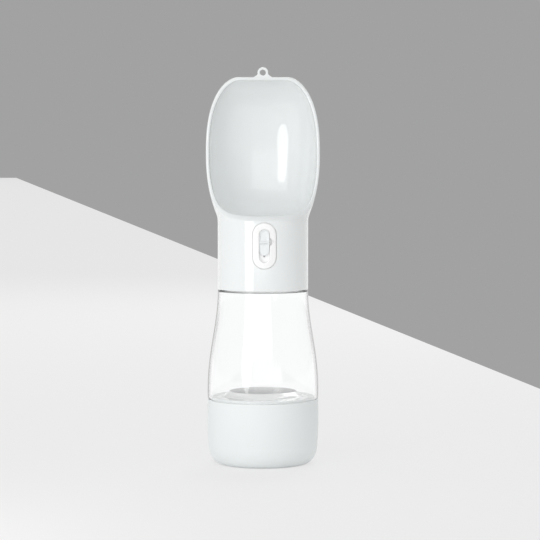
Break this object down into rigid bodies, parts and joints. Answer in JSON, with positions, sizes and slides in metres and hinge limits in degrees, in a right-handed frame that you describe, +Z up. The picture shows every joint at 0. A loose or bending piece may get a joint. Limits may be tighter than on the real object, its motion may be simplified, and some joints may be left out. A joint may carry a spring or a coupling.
{
  "type": "dog travel water bottle",
  "caption": "Clear water bottle with a screw-on drinking trough, a push-button valve with a slide lock, and a screw-on food cup below.",
  "frame": {"origin": "centre of the food cup's underside, on the surface the bottle stands on", "axes": "+Z up along the bottle's axis, -Y towards the button and the open front of the trough, +X to the right seen from the front"},
  "size_m": [0.0756, 0.074, 0.2629],
  "materials": {
    "head_white": "glossy, off-white",
    "cup_white": "satin, off-white",
    "inner_white": "plain moulded white",
    "button_white": "bright white",
    "slider_grey": "translucent pale grey",
    "grey_plastic": "natural acetal",
    "clear_tank": "clear plastic",
    "soft_seal": "translucent silicone",
    "black_rubber": "black rubber",
    "spring_steel": "drawn stainless wire and strip"
  },
  "bodies": {
    "cup": {"food_cup": "cup_white"},
    "cup_seal_carrier": {"cup_seal": "soft_seal"},
    "bottle": {"tank": "clear_tank", "tank_floor": "clear_tank"},
    "gasket_carrier": {"neck_gasket": "soft_seal"},
    "head": {"trough_head": "head_white", "valve_body": "inner_white", "bore_plug": "inner_white", "plug_ring": "black_rubber", "outlet_grommet": "soft_seal", "vent_valve": "soft_seal", "return_spring": "spring_steel"},
    "button": {"button_cap": "button_white", "valve_spool": "grey_plastic", "spool_ring_front": "black_rubber", "spool_ring_middle": "black_rubber", "spool_ring_rear": "black_rubber", "stem_clip": "spring_steel"},
    "slider": {"lock_slider": "slider_grey", "slider_keeper": "inner_white"}
  },
  "joints": [
    {"name": "cup_thread_lift", "type": "slide", "parent": "cup", "child": "cup_seal_carrier", "axis": [0, 0, 1], "range_m": [0, 0.01]},
    {"name": "cup_unscrew", "type": "hinge", "parent": "cup_seal_carrier", "child": "bottle", "pos_m": [0, 0, 0], "axis": [0, 0, 1], "range_deg": [0, 361]},
    {"name": "head_thread_lift", "type": "slide", "parent": "bottle", "child": "gasket_carrier", "axis": [0, 0, 1], "range_m": [0, 0.00735]},
    {"name": "head_unscrew", "type": "hinge", "parent": "gasket_carrier", "child": "head", "pos_m": [0, 0, 0.12], "axis": [0, 0, 1], "range_deg": [0, 631]},
    {"name": "button_press", "type": "slide", "parent": "head", "child": "button", "axis": [0, 1, 0], "range_m": [0, 0.004], "stiffness_N_per_m": 600, "springref_m": -0.003, "deforming": ["return_spring"]},
    {"name": "lock_slide", "type": "slide", "parent": "button", "child": "slider", "axis": [0, 0, -1], "range_m": [0, 0.0043]}
  ],
  "couplings": [
    {"joint": "cup_unscrew", "follows": "cup_thread_lift", "rad_per_m": 628.32},
    {"joint": "head_unscrew", "follows": "head_thread_lift", "rad_per_m": 1496}
  ]
}
